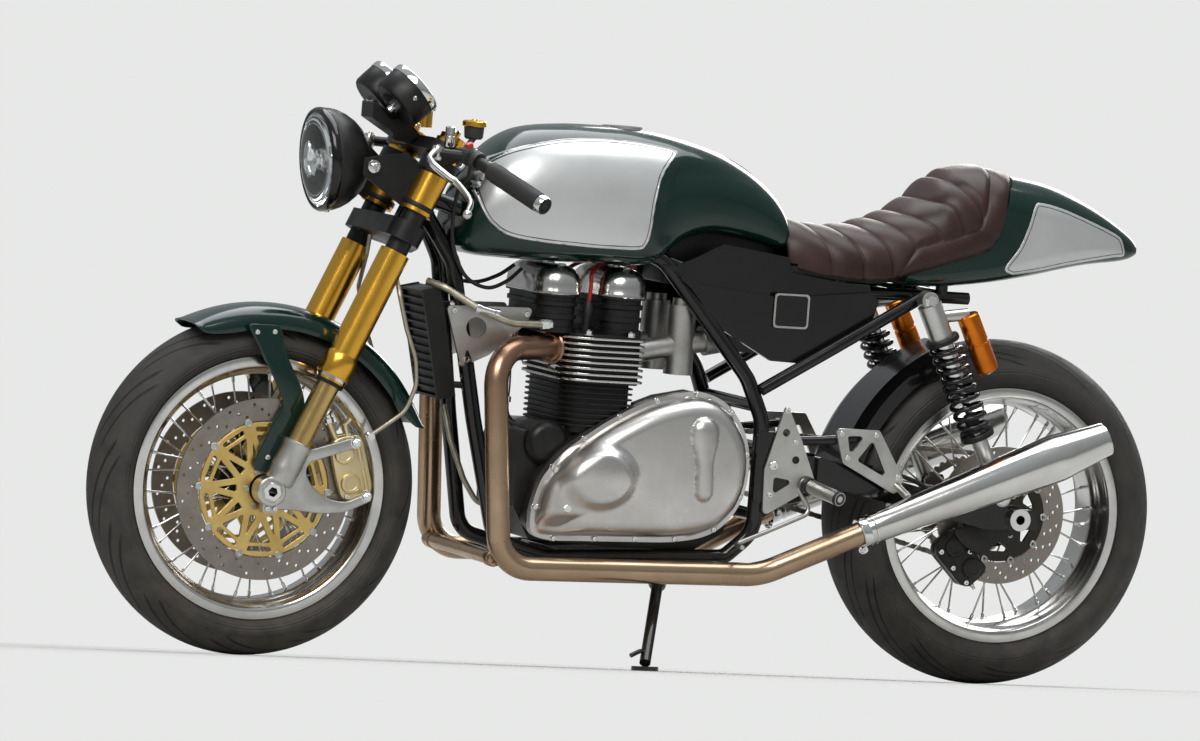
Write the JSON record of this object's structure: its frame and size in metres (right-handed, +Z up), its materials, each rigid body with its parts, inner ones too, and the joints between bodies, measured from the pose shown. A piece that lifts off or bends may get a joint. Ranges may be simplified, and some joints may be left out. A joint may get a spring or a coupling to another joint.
{
  "type": "cafe racer motorcycle",
  "caption": "Cafe racer motorcycle with a long tank, humped seat, spoked wheels, clip-on bars and high silencers, parked on its side stand.",
  "frame": {"origin": "on the floor, under the middle of the parked motorcycle's bounding box", "axes": "X along the length with the front wheel towards -X, Y across with the left side towards -Y, Z up; the motorcycle leans 6 degrees towards -Y onto its side stand"},
  "size_m": [2.0349, 0.7162, 1.0584],
  "materials": {
    "frame_paint": "gloss black enamel",
    "green_paint": "gloss dark green with clear coat",
    "black_gloss": "gloss",
    "seat_leather": "stitched dark brown hide",
    "case_black": "satin black",
    "polished_alloy": "polished",
    "gold_anodised": "satin gold anodised",
    "bronze_coated": "smooth bronze coated",
    "chrome_plate": "bright plated",
    "satin_black": "satin",
    "orange_anodised": "satin orange anodised",
    "lamp_glass": "clear",
    "tyre_rubber": "matt",
    "grip_rubber": "matt",
    "braided_hose": "woven sleeve",
    "rim_alloy": "polished",
    "disc_steel": "ground"
  },
  "bodies": {
    "frame_body": {"bracket_plates": "polished_alloy", "carburettors": "polished_alloy", "control_cables": "grip_rubber", "drive_chain": "disc_steel", "engine_barrel": "case_black", "engine_crankcase": "case_black", "engine_head": "case_black", "engine_primary_cover": "polished_alloy", "engine_right_covers": "polished_alloy", "engine_rocker_covers": "polished_alloy", "exhaust_headers": "bronze_coated", "foot_controls": "polished_alloy", "frame": "frame_paint", "fuel_filler": "chrome_plate", "fuel_tank": "green_paint", "oil_cooler": "satin_black", "oil_lines": "braided_hose", "rear_axle": "frame_paint", "rear_brake": "satin_black", "rear_hugger": "black_gloss", "seat_pad": "seat_leather", "shock_bodies": "satin_black", "shock_reservoirs": "orange_anodised", "shock_springs": "satin_black", "side_panels": "black_gloss", "silencers": "chrome_plate", "swing_arm": "frame_paint", "tail_unit": "green_paint"},
    "steering": {"fork_stanchions": "bronze_coated", "fork_tubes": "gold_anodised", "fork_lugs": "polished_alloy", "fork_yokes": "case_black", "front_axle": "chrome_plate", "clip_on_bars": "satin_black", "grips": "grip_rubber", "control_levers": "polished_alloy", "brake_fluid_cup": "polished_alloy", "headlamp_shell": "satin_black", "headlamp_lens": "lamp_glass", "lamp_and_gauge_brackets": "satin_black", "gauges": "chrome_plate", "front_fender": "green_paint", "front_calipers": "gold_anodised", "brake_hoses": "braided_hose"},
    "front_wheel": {"front_tyre": "tyre_rubber", "front_laced_wheel": "rim_alloy", "front_discs": "disc_steel"},
    "rear_wheel": {"rear_tyre": "tyre_rubber", "rear_laced_wheel": "rim_alloy", "rear_disc": "disc_steel", "rear_sprocket": "disc_steel"},
    "side_stand": {"side_stand": "frame_paint"}
  },
  "joints": [
    {"name": "steering", "type": "hinge", "parent": "frame_body", "child": "steering", "pos_m": [-0.55894, 0.03009, 0.55508], "axis": [0.4067, -0.0955, 0.9085], "range_deg": [-28, 28], "deforming": ["control_cables"]},
    {"name": "front_wheel_spin", "type": "hinge", "parent": "steering", "child": "front_wheel", "pos_m": [-0.7175, 0.05704, 0.29869], "axis": [0, 0.9945, 0.1045], "continuous": true},
    {"name": "rear_wheel_spin", "type": "hinge", "parent": "frame_body", "child": "rear_wheel", "pos_m": [0.7025, 0.05544, 0.31384], "axis": [0, 0.9945, 0.1045], "continuous": true},
    {"name": "side_stand_fold", "type": "hinge", "parent": "frame_body", "child": "side_stand", "pos_m": [0.0245, -0.04094, 0.15935], "axis": [-0.142, -0.7685, 0.6239], "range_deg": [0, 97]}
  ]
}
